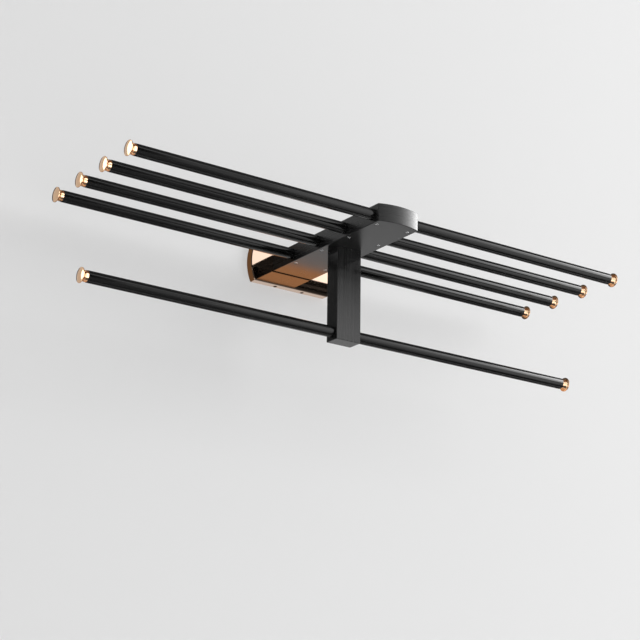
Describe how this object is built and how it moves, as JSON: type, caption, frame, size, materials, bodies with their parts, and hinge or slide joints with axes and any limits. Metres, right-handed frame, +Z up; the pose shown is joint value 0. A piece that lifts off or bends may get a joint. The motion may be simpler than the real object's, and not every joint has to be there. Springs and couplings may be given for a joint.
{
  "type": "towel rack with shelf",
  "caption": "Wall-hung towel rack: black rods on both sides of a flat arm make a shelf, a post drops to a lower towel rod, with a polished gold wall plate and flared gold rod ends.",
  "frame": {"origin": "on the wall, behind the middle of the arm, level with the shelf rods' axes", "axes": "+X along the rods, to the right seen from the room; +Y into the wall; +Z up"},
  "size_m": [0.613, 0.2035, 0.13],
  "materials": {
    "black_coat": "satin",
    "gold": "polished",
    "steel": "satin"
  },
  "bodies": {
    "root": {"arm_screws": "steel", "drop_post": "black_coat", "plate_set_screws": "steel", "post_screws": "steel", "shelf_cap_1_left": "gold", "shelf_cap_1_right": "gold", "shelf_cap_2_left": "gold", "shelf_cap_2_right": "gold", "shelf_cap_3_left": "gold", "shelf_cap_3_right": "gold", "shelf_cap_4_left": "gold", "shelf_cap_4_right": "gold", "shelf_rod_1_left": "black_coat", "shelf_rod_1_right": "black_coat", "shelf_rod_2_left": "black_coat", "shelf_rod_2_right": "black_coat", "shelf_rod_3_left": "black_coat", "shelf_rod_3_right": "black_coat", "shelf_rod_4_left": "black_coat", "shelf_rod_4_right": "black_coat", "shelf_set_screws": "steel", "support_arm": "black_coat", "towel_cap_left": "gold", "towel_cap_right": "gold", "towel_rod_left": "black_coat", "towel_rod_right": "black_coat", "towel_set_screws": "steel", "wall_bracket": "steel", "wall_plate": "gold"}
  },
  "joints": []
}
